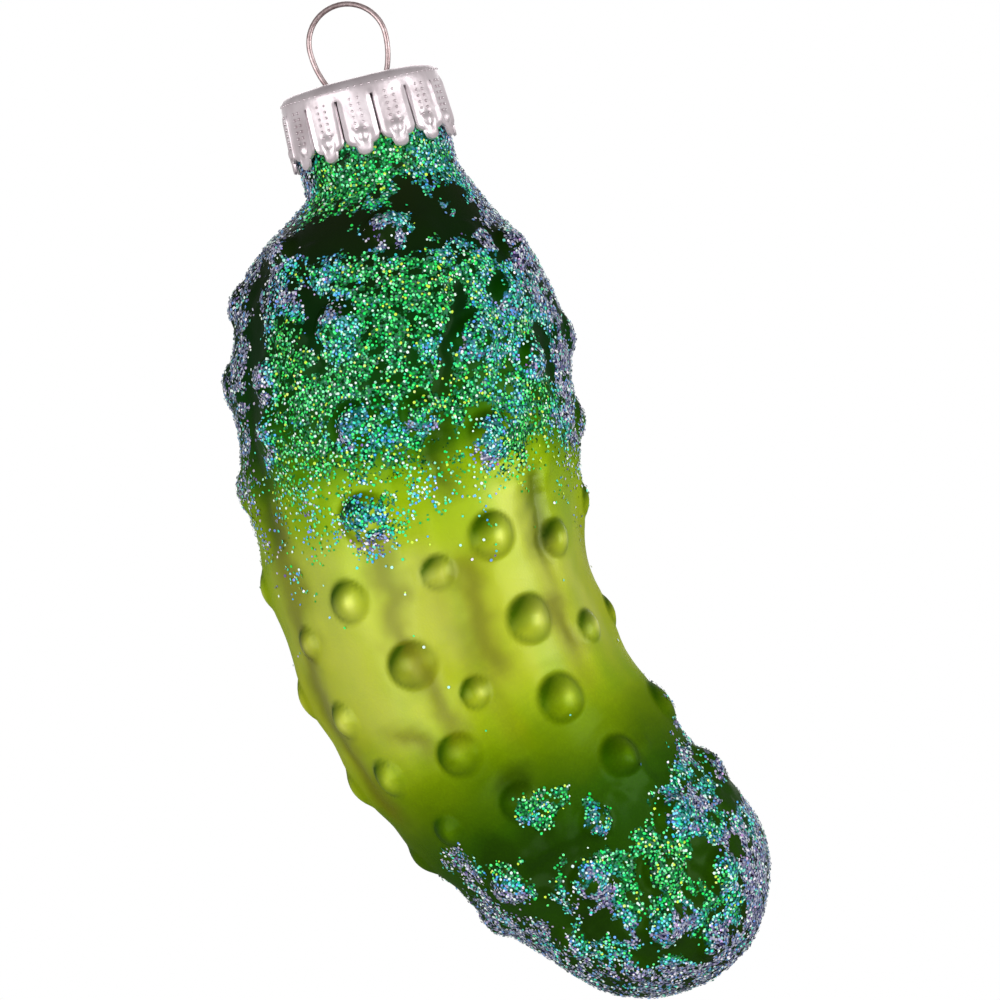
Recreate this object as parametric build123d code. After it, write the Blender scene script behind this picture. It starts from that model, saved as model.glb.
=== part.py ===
from build123d import *
import math
import os

# A blown-glass pickle ornament: a hollow, warty glass pickle, a crimped metal crown cap
# and the sprung wire hanger that holds the cap on. All sizes are in millimetres.
# +Z is up. The origin is where a hook bears: the top of the inside of the wire loop.
# The neck's axis is the Z axis, the pickle bends in the XZ plane, and its front faces -Y.

# Hanger wire
wire_diameter = 0.55
loop_inside_width = 7.2
loop_side_radius = 9.0
wire_bend_radius = 1.0
leg_depth = 24.0
leg_clearance = 0.3

# Crown cap
cap_sheet = 0.25
cap_edge_radius = 1.2
cap_skirt_height = 6.7
cap_skirt_flare = 0.25
cap_collar_height = 1.9
finger_count = 14
first_finger_turn = -5.5
slit_width = 0.3
finger_corner_radius = 0.9
tongue_width = 1.5
tongue_length = 1.0
boss_diameter = 1.5
boss_height = 0.25
boss_above_finger_end = 1.0
wire_hole_spacing = 6.1
wire_hole_clearance = 0.3

# Glass neck
neck_diameter = 15.4
neck_length = 10.2
neck_to_cap_clearance = 0.15
rim_to_plate_gap = 0.05

# Glass pickle: the spine as (x, drop) below the neck's foot, the shoulder that flares out
# from the neck, the skin's radius below it as (distance along the spine, radius), and the
# round tip at the spine's lower end
glass_wall = 0.9
shoulder_drop = 3.0
shoulder_flare = 2.2
spine_points = [
    (0.0, 0.0), (-0.9, 7.0), (-2.5, 17.5), (-4.7, 35.5), (-3.5, 50.0), (1.0, 61.5), (8.8, 73.4),
]
tip_lean = 40.0
tip_radius = 12.5
girths = [
    (6.5, 13.1),
    (10.0, 14.9),
    (16.0, 16.4),
    (26.0, 16.7),
    (38.0, 16.0),
    (50.0, 15.2),
    (62.0, 14.2),
    (72.0, 13.0),
]

# Warts: distance along the spine and on over the tip, degrees round from the front
# towards +X, radius at the skin. The faces are repeated half a turn round on the back.
wart_height_share = 0.42
face_warts = [
    (5.0, 0, 2.2), (6.5, -55, 2.0), (7.5, 62, 2.4), (12.5, 46, 1.9), (14.0, -22, 2.4),
    (16.5, 28, 2.3), (18.5, -55, 2.0), (19.0, 52, 1.9), (23.5, 6, 1.9), (24.0, -17, 2.1),
    (24.0, -54, 2.0), (26.5, 29, 2.6), (33.0, -18, 2.6), (37.0, 25, 2.4), (39.0, 54, 2.0),
    (39.5, 3, 1.8), (40.0, -32, 2.2), (42.5, -59, 1.8), (47.0, -17, 2.4), (47.5, 31, 2.5),
    (49.0, -58, 2.0), (52.0, 0, 1.7), (52.0, 58, 1.8), (54.5, -53, 2.1), (56.0, -19, 2.2),
    (57.5, 27, 2.5), (61.0, -46, 1.8), (63.0, -12, 2.1), (66.5, 32, 2.1), (68.0, -46, 2.2),
    (69.5, 4, 1.8), (73.0, -16, 2.3), (75.5, 32, 2.3), (75.5, -50, 2.0), (78.0, 7, 2.3),
    (81.5, -14, 2.3), (82.0, -44, 1.9), (83.0, 26, 2.0), (87.5, -10, 1.9),
]
side_warts = [
    (11.0, -90, 2.4), (19.0, -90, 2.6), (29.0, -90, 2.4), (37.5, -90, 2.0), (46.5, -90, 2.2),
    (54.0, -90, 2.2), (61.5, -88, 2.0), (69.5, -88, 2.2), (17.0, 90, 2.2), (25.5, 90, 2.2),
    (35.0, 90, 1.8), (51.5, 88, 1.7), (65.5, 80, 2.4), (75.5, 78, 2.4),
]

# Sizes that follow from those above
wire_radius = wire_diameter / 2
loop_radius = loop_inside_width / 2 + wire_radius
loop_centre_z = wire_radius - loop_radius
leg_x = wire_hole_spacing / 2
bend_centre_x = leg_x + wire_bend_radius
side_centre_x = loop_radius - loop_side_radius
side_to_bend = loop_side_radius + wire_bend_radius
side_sweep = math.acos((bend_centre_x - side_centre_x) / side_to_bend)
bend_z = loop_centre_z - side_to_bend * math.sin(side_sweep)
plate_top_z = bend_z + cap_sheet / 2
plate_under_z = plate_top_z - cap_sheet
finger_end_z = plate_top_z - cap_skirt_height
tongue_end_z = finger_end_z - tongue_length
rim_z = plate_under_z - rim_to_plate_gap
foot_z = rim_z - neck_length
neck_radius = neck_diameter / 2
neck_bore_radius = neck_radius - glass_wall
cap_inner_radius = neck_radius + neck_to_cap_clearance
cap_radius = cap_inner_radius + cap_sheet
finger_pitch = 360 / finger_count
front_turn = -90.0


def make_hanger_wire():
    """One wire: the loop, a bend in each of the cap's holes, and two legs that lean out to the bore."""
    reach = neck_bore_radius - wire_radius - leg_clearance - leg_x
    lean = math.atan2(reach, bend_z - foot_z)
    side_degrees = math.degrees(side_sweep)
    lean_degrees = math.degrees(lean)
    leg_start = (
        bend_centre_x - wire_bend_radius * math.cos(lean),
        bend_z - wire_bend_radius * math.sin(lean),
    )
    leg_length = (leg_depth - wire_bend_radius * math.sin(lean)) / math.cos(lean)
    leg_end = (
        leg_start[0] + leg_length * math.sin(lean),
        leg_start[1] - leg_length * math.cos(lean),
    )
    with BuildLine(Plane.XZ) as path:
        CenterArc((0, loop_centre_z), loop_radius, 0, 180)
        for half_turn, hand in ((0, 1), (180, -1)):
            side_centre = (hand * side_centre_x, loop_centre_z)
            CenterArc(side_centre, loop_side_radius, half_turn, -hand * side_degrees)
            bend_from = half_turn + 180 - hand * side_degrees
            bend_turn = hand * (side_degrees + lean_degrees)
            CenterArc((hand * bend_centre_x, bend_z), wire_bend_radius, bend_from, bend_turn)
            Line((hand * leg_start[0], leg_start[1]), (hand * leg_end[0], leg_end[1]))
    wire_path = path.wires()[0]
    section = Plane(origin=wire_path @ 0, z_dir=wire_path % 0) * Circle(wire_radius)
    return sweep(section, path=wire_path)


def cap_cup(wall_radius, top_z, edge_radius):
    """A solid cup, domed in by a rounded edge and flared to the tongues' ends."""
    with BuildSketch(Plane.XZ) as half:
        with BuildLine():
            Line((0, top_z), (wall_radius - edge_radius, top_z))
            CenterArc((wall_radius - edge_radius, top_z - edge_radius), edge_radius, 0, 90)
            Line((wall_radius, top_z - edge_radius), (wall_radius + cap_skirt_flare, tongue_end_z))
            Line((wall_radius + cap_skirt_flare, tongue_end_z), (0, tongue_end_z))
            Line((0, tongue_end_z), (0, top_z))
        make_face()
    return revolve(half.sketch, Axis.Z)


def skirt_radius_at(z):
    """The outside radius of the flared skirt at a height."""
    skirt_top_z = plate_top_z - cap_edge_radius
    return cap_radius + cap_skirt_flare * (skirt_top_z - z) / (skirt_top_z - tongue_end_z)


def make_finger():
    """A block as wide as one finger, with its round shoulders and its tongue, facing +X."""
    width = 2 * cap_radius * math.sin(math.radians(finger_pitch / 2)) - slit_width
    blade_height = plate_top_z - finger_end_z
    blade = Pos(0, finger_end_z + blade_height / 2) * Rectangle(width, blade_height)
    blade = fillet(blade.vertices().group_by(Axis.Y)[0], finger_corner_radius)
    tongue = Pos(0, finger_end_z) * SlotOverall(2 * tongue_length, tongue_width, rotation=90)
    reach = cap_radius + cap_skirt_flare + boss_height
    face = Plane(origin=(0, 0, 0), x_dir=(0, 1, 0), z_dir=(1, 0, 0)) * (blade + tongue)
    return extrude(face, reach) - Cylinder(cap_inner_radius / 2, 2 * abs(tongue_end_z))


def make_boss():
    """The ball whose cap is the round boss pressed in one finger, facing +X."""
    boss_radius = boss_diameter / 2
    ball_radius = (boss_radius**2 + boss_height**2) / (2 * boss_height)
    boss_z = finger_end_z + boss_above_finger_end
    return Pos(skirt_radius_at(boss_z) + boss_height - ball_radius, 0, boss_z) * Sphere(ball_radius)


def make_cap():
    """The crown cap: a thin pressed cup slit into fingers, with a boss on each and two wire holes."""
    turns = [front_turn + first_finger_turn + k * finger_pitch for k in range(finger_count)]
    cup = cap_cup(cap_radius, plate_top_z, cap_edge_radius)
    cup += [Rot(0, 0, turn) * make_boss() for turn in turns]
    cup -= cap_cup(cap_inner_radius, plate_under_z, cap_edge_radius - cap_sheet)
    collar_radius = cap_radius + cap_skirt_flare + boss_height
    collar = Pos(0, 0, plate_top_z - cap_collar_height / 2) * Cylinder(collar_radius, cap_collar_height)
    kept = collar + [Rot(0, 0, turn) * make_finger() for turn in turns]
    cap = cup & kept
    hole_radius = wire_radius + wire_hole_clearance / 2
    for hand in (1, -1):
        cap -= Pos(hand * leg_x, 0, bend_z) * Cylinder(hole_radius, 2 * cap_sheet)
    return cap


def make_spine():
    """The pickle's bent centre line, from the neck's foot to the middle of its round tip."""
    lean = math.radians(tip_lean)
    points = [(x, 0, foot_z - drop) for x, drop in spine_points]
    return Spline(*points, tangents=[(0, 0, -1), (math.sin(lean), 0, -math.cos(lean))])


spine = make_spine()
spine_length = spine.length
shoulder_rings = [(0.0, neck_radius), (shoulder_drop, neck_radius + shoulder_flare)]
skin_rings = shoulder_rings + girths + [(spine_length, tip_radius)]


def spine_plane(along):
    """The plane across the spine at a distance along it, with X to the front and Z towards the tip."""
    origin = spine.position_at(along, PositionMode.LENGTH)
    tangent = spine.tangent_at(along, PositionMode.LENGTH)
    return Plane(origin=origin, x_dir=(0, -1, 0), z_dir=tangent)


def skin_at(along, around):
    """A point of the bare skin and the direction straight out of it."""
    turn = math.radians(around)
    plane = spine_plane(min(along, spine_length))
    outward = plane.x_dir * math.cos(turn) - plane.y_dir * math.sin(turn)
    if along > spine_length:
        tilt = (along - spine_length) / tip_radius
        normal = outward * math.cos(tilt) + plane.z_dir * math.sin(tilt)
        return plane.origin + normal * tip_radius, normal
    for (start, start_radius), (end, end_radius) in zip(skin_rings, skin_rings[1:]):
        if start <= along <= end:
            slope = (end_radius - start_radius) / (end - start)
            radius = start_radius + slope * (along - start)
    normal = (outward - plane.z_dir * slope).normalized()
    return plane.origin + outward * radius, normal


def make_wart(along, around, base_radius):
    """The ball whose cap is one wart."""
    height = wart_height_share * base_radius
    ball_radius = (base_radius**2 + height**2) / (2 * height)
    foot, normal = skin_at(along, around)
    return Plane(origin=foot + normal * (height - ball_radius), z_dir=normal) * Sphere(ball_radius)


def pickle_form(inset):
    """The pickle without its neck: a loft down the spine and a round tip, drawn in by a wall."""
    body = loft([spine_plane(along) * Circle(radius - inset) for along, radius in skin_rings])
    on_base = (Align.CENTER, Align.CENTER, Align.MIN)
    tip = Sphere(tip_radius - inset, arc_size1=0, arc_size2=90, align=on_base)
    return body + spine_plane(spine_length) * tip


def make_glass_pickle():
    """The blown shell: neck, bent body, round tip and warts outside, smooth and hollow inside."""
    neck = Pos(0, 0, foot_z + neck_length / 2) * Cylinder(neck_radius, neck_length)
    rim_round = cap_edge_radius - cap_sheet - neck_to_cap_clearance
    neck = fillet(neck.edges().group_by(Axis.Z)[-1], rim_round)
    bore = Pos(0, 0, foot_z + neck_length) * Cylinder(neck_bore_radius, 2 * neck_length)
    back_warts = [(along, around + 180, radius) for along, around, radius in face_warts]
    warts = [make_wart(*wart) for wart in face_warts + side_warts + back_warts]
    outside = pickle_form(0) + neck + warts
    return outside - (pickle_form(glass_wall) + bore)


os.makedirs("parts", exist_ok=True)
pieces = {
    "hanger_wire": make_hanger_wire(),
    "cap": make_cap(),
    "glass_pickle": make_glass_pickle(),
}
for node, solid in pieces.items():
    export_step(solid, f"parts/{node}.step")
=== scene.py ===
# %% [markdown]
# # A blown-glass pickle ornament
# The real thing is three pieces: a hollow glass pickle, lacquered green over silvering and
# dusted with glitter, a crimped metal cap over its neck, and a sprung wire that hangs it.
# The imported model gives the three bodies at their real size. This lesson dresses them, and
# everything here is worked out in millimetres and turned into metres by one factor.

# %% Load the frame and keep its box
import math

import bpy
import numpy as np
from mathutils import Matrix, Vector, noise


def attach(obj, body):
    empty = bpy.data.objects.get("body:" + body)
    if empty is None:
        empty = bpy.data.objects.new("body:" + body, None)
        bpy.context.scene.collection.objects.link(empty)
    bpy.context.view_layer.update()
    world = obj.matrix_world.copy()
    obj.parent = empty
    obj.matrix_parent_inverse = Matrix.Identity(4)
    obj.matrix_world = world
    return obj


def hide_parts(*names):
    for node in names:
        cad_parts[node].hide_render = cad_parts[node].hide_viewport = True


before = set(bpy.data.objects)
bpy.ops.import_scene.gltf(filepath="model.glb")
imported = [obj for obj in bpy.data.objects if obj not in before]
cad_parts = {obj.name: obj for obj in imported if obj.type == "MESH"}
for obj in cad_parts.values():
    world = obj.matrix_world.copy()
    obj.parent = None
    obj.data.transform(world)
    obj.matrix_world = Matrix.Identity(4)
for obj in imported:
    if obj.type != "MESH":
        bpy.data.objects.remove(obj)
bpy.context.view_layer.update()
MM = 0.001

# %% [markdown]
# ## Working as by hand
# An operator acts on whatever is selected, and the loaded nodes come in selected. So each
# piece starts from an empty selection, and a modifier is applied as soon as it is set up,
# because the next step then sees plain vertices.

# %% Small helpers for modelling


def pick(piece):
    """Makes one object the only selected and the active one."""
    bpy.ops.object.select_all(action="DESELECT")
    piece.select_set(True)
    bpy.context.view_layer.objects.active = piece
    return piece


def start(name, operator, **settings):
    """Adds a primitive under a name, with nothing else selected."""
    bpy.ops.object.select_all(action="DESELECT")
    operator(**settings)
    bpy.context.object.name = name
    return bpy.context.object


def apply_modifier(piece, kind, **settings):
    """Adds a modifier, sets it and applies it."""
    pick(piece)
    modifier = piece.modifiers.new(kind.lower(), kind)
    for setting, value in settings.items():
        setattr(modifier, setting, value)
    bpy.ops.object.modifier_apply(modifier=modifier.name)


print("helpers ready")

# %% [markdown]
# ## The pickle's spine and girth
# A blown pickle is a tube round a bent centre line. The line starts straight down at the
# neck's foot and ends leaning to the right, and a smooth curve through a few points is all
# it needs. A cubic with given end slopes does both the line and the girth along it.

# %% A smooth curve through points


def smooth_curve(knots, points, first_slope, last_slope):
    """A function that passes smoothly through points at knots, with given slopes at its ends."""
    points = np.asarray(points, float).reshape(len(knots), -1)
    gaps = np.diff(knots)
    rises = np.diff(points, axis=0) / gaps[:, None]
    system = np.eye(len(knots))
    right = np.zeros_like(points)
    right[0], right[-1] = first_slope, last_slope
    for k in range(1, len(knots) - 1):
        before, after = 1 / gaps[k - 1], 1 / gaps[k]
        system[k, k - 1 : k + 2] = before, 2 * (before + after), after
        right[k] = 3 * (rises[k - 1] * before + rises[k] * after)
    slopes = np.linalg.solve(system, right)

    def at(where):
        where = np.clip(np.atleast_1d(np.asarray(where, float)), knots[0], knots[-1])
        span = np.clip(np.searchsorted(knots, where) - 1, 0, len(gaps) - 1)
        width = gaps[span][:, None]
        t = (where - knots[span])[:, None] / width
        low, high = points[span], points[span + 1]
        bend = slopes[span] * width * (t - 2 * t**2 + t**3) + slopes[span + 1] * width * (t**3 - t**2)
        return low + (high - low) * (3 * t**2 - 2 * t**3) + bend

    return at


def lengths_along(line):
    """How far along a line of points each of them is."""
    return np.concatenate([[0], np.cumsum(np.linalg.norm(np.diff(line, axis=0), axis=1))])


print("curves ready")

# %% Spine and girth
NECK_FOOT_Z = -17.952
NECK_RADIUS = 7.7
TIP_LEAN = math.radians(40)
TIP_RADIUS = 12.5
SPINE = np.array([
    (0.0, 0.0), (-0.9, 7.0), (-2.5, 17.5), (-4.7, 35.5), (-3.5, 50.0), (1.0, 61.5), (8.8, 73.4),
])
GIRTHS = [
    (0.0, NECK_RADIUS), (3.0, 9.9), (6.5, 13.1), (10.0, 14.9), (16.0, 16.4), (26.0, 16.7),
    (38.0, 16.0), (50.0, 15.2), (62.0, 14.2), (72.0, 13.0),
]
SHOULDER_SLOPE = 0.75
FINE_STEPS = 1500
chords = lengths_along(SPINE)
spine_curve = smooth_curve(chords, SPINE, (0, 1), (math.sin(TIP_LEAN), math.cos(TIP_LEAN)))
fine_line = spine_curve(np.linspace(0, chords[-1], FINE_STEPS)) * (1, -1) + (0, NECK_FOOT_Z)
fine_along = lengths_along(fine_line)
SPINE_LENGTH = fine_along[-1]
girth_knots, girths = np.array(GIRTHS + [(SPINE_LENGTH, TIP_RADIUS)]).T
girth_curve = smooth_curve(girth_knots, girths, SHOULDER_SLOPE, 0.0)
print("spine length in mm:", round(SPINE_LENGTH, 2))

# %% Places on the spine and the skin


def spine_at(along):
    """The centre (x, z) and the lean from straight down, at distances from the neck's foot."""
    along = np.atleast_1d(np.asarray(along, float))
    inside = np.clip(along, 0, SPINE_LENGTH)
    centre = np.stack([np.interp(inside, fine_along, fine_line[:, k]) for k in (0, 1)], 1)
    leans = np.arctan2(np.gradient(fine_line[:, 0]), -np.gradient(fine_line[:, 1]))
    centre[:, 1] -= np.minimum(along, 0)
    return centre, np.interp(inside, fine_along, leans)


def skin_at(along, around):
    """Points of the bare skin, and past the spine's end of the round tip."""
    along, turn = np.atleast_1d(np.asarray(along, float)), np.radians(np.atleast_1d(around))
    centre, lean = spine_at(along)
    tilt = np.maximum(along - SPINE_LENGTH, 0) / TIP_RADIUS
    radius = girth_curve(along)[:, 0] * np.cos(tilt)
    drop = TIP_RADIUS * np.sin(tilt)
    side = radius * np.sin(turn)
    x = centre[:, 0] + side * np.cos(lean) + drop * np.sin(lean)
    z = centre[:, 1] + side * np.sin(lean) - drop * np.cos(lean)
    return np.stack([x, -radius * np.cos(turn), z], 1)


print("tip at", np.round(skin_at(SPINE_LENGTH + TIP_RADIUS * math.pi / 2, 0)[0], 1))

# %% [markdown]
# ## Blowing the shell
# A glass blower's mould gives one closed skin: over the rim, down the neck, out over the
# shoulder, along the body and round the tip. Here one circle is extruded from station to
# station, scaled to the girth and turned square to the spine, and a subdivision surface
# smooths the cage. Its rings are drawn a little large, because subdivision pulls them in.
# Extruding may number the new vertices differently each time, and glitter is sown by those
# numbers. So the cage is sorted by the distance from one odd place before it is subdivided.

# %% Walk a ring along the spine
RING_SIDES = 32
PULL_IN = (2 + math.cos(2 * math.pi / RING_SIDES)) / 3


def walk(stations):
    """Extrudes the selected open ring through (along, radius) stations, from the first one."""
    along = np.array([s[0] for s in stations])
    centres, leans = spine_at(along)
    centres[:, 0] += np.sin(leans) * np.maximum(along - SPINE_LENGTH, 0)
    centres[:, 1] -= np.cos(leans) * np.maximum(along - SPINE_LENGTH, 0)
    for k in range(1, len(stations)):
        here, there = (Vector((c[0], 0, c[1])) * MM for c in (centres[k - 1], centres[k]))
        size = stations[k][1] / stations[k - 1][1]
        bpy.ops.mesh.extrude_region_move(TRANSFORM_OT_translate={"value": there - here})
        bpy.ops.transform.resize(value=(size, size, size), center_override=there)
        turn = leans[k] - leans[k - 1]
        if abs(turn) > 1e-6:
            bpy.ops.transform.rotate(value=turn, orient_axis="Y", center_override=there)


def tip_rings(radius, tilts):
    """Stations on a round tip of a given radius, at tilts in degrees."""
    rounds = [(math.sin(math.radians(tilt)), math.cos(math.radians(tilt))) for tilt in tilts]
    return [(SPINE_LENGTH + radius * sine, radius * cosine) for sine, cosine in rounds]


print("rings of", RING_SIDES, "sides, drawn larger by", round(1 / PULL_IN, 4))

# %% Outer skin
GLASS_WALL = 0.9
CAGE_LEVELS = 3
SORT_FROM = Vector((31, -47, 23)) * MM
CLOSING_RADIUS = 0.5
POLE_SHARE = 1.006
NECK_BORE = NECK_RADIUS - GLASS_WALL
neck_rings = [(-9.8, NECK_BORE), (-10.2, NECK_BORE + 0.4 * GLASS_WALL), (-10.0, NECK_RADIUS - 0.15)]
neck_rings += [(along, NECK_RADIUS) for along in (-9.2, -5.0, -1.4, -0.4)]
body_along = np.concatenate([np.arange(0, 10, 1.6), np.arange(11, SPINE_LENGTH - 1, 2.7)])
body_rings = [(along, girth_curve(along)[0, 0]) for along in body_along]
outer_rings = neck_rings + body_rings + tip_rings(TIP_RADIUS, (0, 14, 28, 42, 56, 70, 82))
outer_rings = [(along, radius / PULL_IN) for along, radius in outer_rings]
first_centre = spine_at(outer_rings[0][0])[0][0]
glass = start(
    "glass_skin", bpy.ops.mesh.primitive_circle_add, vertices=RING_SIDES,
    radius=outer_rings[0][1] * MM, location=(first_centre[0] * MM, 0, first_centre[1] * MM),
)
bpy.ops.object.transform_apply(location=True, rotation=True, scale=True)
bpy.ops.object.mode_set(mode="EDIT")
bpy.ops.mesh.select_all(action="SELECT")
walk(outer_rings + [(SPINE_LENGTH + POLE_SHARE * TIP_RADIUS, CLOSING_RADIUS)])
bpy.ops.mesh.merge(type="CENTER")
bpy.ops.mesh.select_all(action="SELECT")
bpy.context.scene.cursor.location = SORT_FROM
bpy.ops.mesh.sort_elements(type="CURSOR_DISTANCE", elements={"VERT", "EDGE", "FACE"})
bpy.context.scene.cursor.location = (0, 0, 0)
bpy.ops.object.mode_set(mode="OBJECT")
apply_modifier(glass, "SUBSURF", levels=CAGE_LEVELS, render_levels=CAGE_LEVELS)
outer_count = len(glass.data.vertices)
print("outer skin:", outer_count, "vertices")

# %% Close the shell with its smooth inner wall
bpy.ops.object.mode_set(mode="EDIT")
bpy.ops.mesh.select_mode(type="VERT")
bpy.ops.mesh.select_all(action="DESELECT")
bpy.ops.mesh.select_non_manifold()
inner_along = np.concatenate([[-9.8, -1.0], np.arange(2, SPINE_LENGTH, 6.0)])
inner_rings = [
    (along, max(girth_curve(along)[0, 0], NECK_RADIUS) - GLASS_WALL) for along in inner_along
]
inner_rings += tip_rings(TIP_RADIUS - GLASS_WALL, (0, 25, 50, 75))
walk(inner_rings + [(SPINE_LENGTH + TIP_RADIUS - GLASS_WALL, CLOSING_RADIUS)])
bpy.ops.mesh.merge(type="CENTER")
bpy.ops.mesh.select_all(action="SELECT")
bpy.ops.mesh.normals_make_consistent(inside=False)
bpy.ops.object.mode_set(mode="OBJECT")
print("closed shell:", len(glass.data.vertices), "vertices")

# %% [markdown]
# ## Where each vertex lies
# Every later step wants to know how far down the spine and how far round a vertex lies, so
# that is measured once: down the neck by its height, down the body by the nearest place of
# the spine's line, and on the round tip by its tilt. Three sizes of noise over the skin then
# keep every painted edge uneven, as glue and spray are.

# %% Measure each vertex along and round the spine
LINE_STRIDE = 5
CHUNKS = 40
TIP_LEAD = 0.3


def vertices_of(piece):
    """A piece's vertices as rows of millimetres."""
    flat = np.empty(3 * len(piece.data.vertices), np.float32)
    piece.data.vertices.foreach_get("co", flat)
    return flat.reshape(-1, 3).astype(float) / MM


points = vertices_of(glass)
flat = points[:, (0, 2)]
nearest = np.concatenate([
    np.argmin(((chunk[:, None] - fine_line[None, ::LINE_STRIDE]) ** 2).sum(2), axis=1)
    for chunk in np.array_split(flat, CHUNKS)
])
along = fine_along[::LINE_STRIDE][nearest]
along = np.where(flat[:, 1] > NECK_FOOT_Z, NECK_FOOT_Z - flat[:, 1], along)
centre, lean = spine_at(along)
from_line = flat - centre
side = from_line[:, 0] * np.cos(lean) + from_line[:, 1] * np.sin(lean)
past = from_line[:, 0] * np.sin(lean) - from_line[:, 1] * np.cos(lean)
around = np.degrees(np.arctan2(side, -points[:, 1]))
on_tip = (along > SPINE_LENGTH - TIP_LEAD) & (past > 0)
tip_along = SPINE_LENGTH + TIP_RADIUS * np.arctan2(past, np.hypot(side, points[:, 1]))
along = np.where(on_tip, tip_along, along)
outside = np.arange(len(points)) < outer_count
rightward = np.sin(np.radians(around))
forward = np.cos(np.radians(around))
front_turn = (around + 90) % 180 - 90
print("along from", round(along.min(), 1), "to", round(along.max(), 1))

# %% Noise over the skin


def speckle(size, seed):
    """Noise about 0 over the skin, with blotches about that many millimetres across."""
    shift = Vector((seed, 3 * seed, -seed))
    return np.array([noise.fractal(Vector(p) / size + shift, 1.0, 2.0, 3) for p in points])


ragged = speckle(4.0, 11.0)
blotchy = speckle(1.8, 23.0)
clumps = speckle(0.9, 41.0)
print("noise from", round(float(ragged.min()), 2), "to", round(float(ragged.max()), 2))

# %% [markdown]
# ## Warts
# The warts are the mould's round bumps: each is a dome on a soft swell, with a faint moat
# at its foot. Spheres pushed into the skin would leave sharp seams, so a Displace modifier
# raises the skin itself, by weights. Each wart gets painted shade, a dark ring at its foot
# and a dark slope on its upper left, and a painted highlight, a pale spot just right of and
# below its middle. Glitter is left off that shaded flank, as painted shade too, and turns
# violet grey under the lump, as painted reflection colour. One loop works all of this out
# from where a vertex lies on its wart. Glue thickens the warts of both ends and crusts the
# skin between them.

# %% Where the warts are
FACE_WARTS = [
    (5.0, 0, 2.2), (6.5, -55, 2.0), (7.5, 62, 2.4), (12.5, 46, 1.9), (14.0, -22, 2.4),
    (16.5, 28, 2.3), (18.5, -55, 2.0), (19.0, 52, 1.9), (23.5, 6, 1.9), (24.0, -17, 2.1),
    (24.0, -54, 2.0), (26.5, 29, 2.6), (33.0, -18, 2.6), (37.0, 25, 2.4), (39.0, 54, 2.0),
    (39.5, 3, 1.8), (40.0, -32, 2.2), (42.5, -59, 1.8), (47.0, -17, 2.4), (47.5, 31, 2.5),
    (49.0, -58, 2.0), (52.0, 0, 1.7), (52.0, 58, 1.8), (54.5, -53, 2.1), (56.0, -19, 2.2),
    (57.5, 27, 2.5), (61.0, -46, 1.8), (63.0, -12, 2.1), (66.5, 32, 2.1), (68.0, -46, 2.2),
    (69.5, 4, 1.8), (73.0, -16, 2.3), (75.5, 32, 2.3), (75.5, -50, 2.0), (78.0, 7, 2.3),
    (81.5, -14, 2.3), (82.0, -44, 1.9), (83.0, 26, 2.0), (87.5, -10, 1.9),
]
SIDE_WARTS = [
    (11.0, -90, 2.4), (19.0, -90, 2.6), (29.0, -90, 2.4), (37.5, -90, 2.0), (46.5, -90, 2.2),
    (54.0, -90, 2.2), (61.5, -88, 2.0), (69.5, -88, 2.2), (17.0, 90, 2.2), (25.5, 90, 2.2),
    (35.0, 90, 1.8), (51.5, 88, 1.7), (65.5, 80, 2.4), (75.5, 78, 2.4),
]
BACK_WARTS = [(down, turn + 180, radius) for down, turn, radius in FACE_WARTS]
WARTS = FACE_WARTS + BACK_WARTS + SIDE_WARTS
print(len(WARTS), "warts")

# %% Soft masks


def step(values, low, high):
    """A soft step from 0 at low to 1 at high."""
    t = np.clip((values - low) / (high - low), 0, 1)
    return t * t * (3 - 2 * t)


def bell(values, middle, width):
    """1 at the middle, falling away softly on both sides."""
    return np.exp(-(((values - middle) / width) ** 2))


def share(mask):
    """How much of the skin a mask covers, in words."""
    return f"{np.mean(mask):.3f} of the skin"


print("a quarter of the way, a soft step is at", step(0.25, 0, 1))

# %% Shape and shade each wart
WART_HEIGHT_SHARE = 0.5
ROUND_WART = (0.75, 1.4)
BROAD_WART = (0.4, 1.5)
WART_REACH = 3.2
CORE_EDGE, CORE_ROUND = 1.04, 1.1
MOAT_AT, RING_AT, RING_WIDTH = 1.08, 0.92, 0.16
wart_forms = [ROUND_WART] * (len(WARTS) - len(SIDE_WARTS)) + [BROAD_WART] * len(SIDE_WARTS)
wart_feet = skin_at([w[0] for w in WARTS], [w[1] for w in WARTS])
wart_leans = spine_at([w[0] for w in WARTS])[1]
dome, moat, shade, crown, bare_side, under_side = np.zeros((6, len(points)))


def lift_to(layer, near, values):
    """Raises a layer of numbers to new values where they are higher."""
    layer[near] = np.maximum(layer[near], values)


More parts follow.
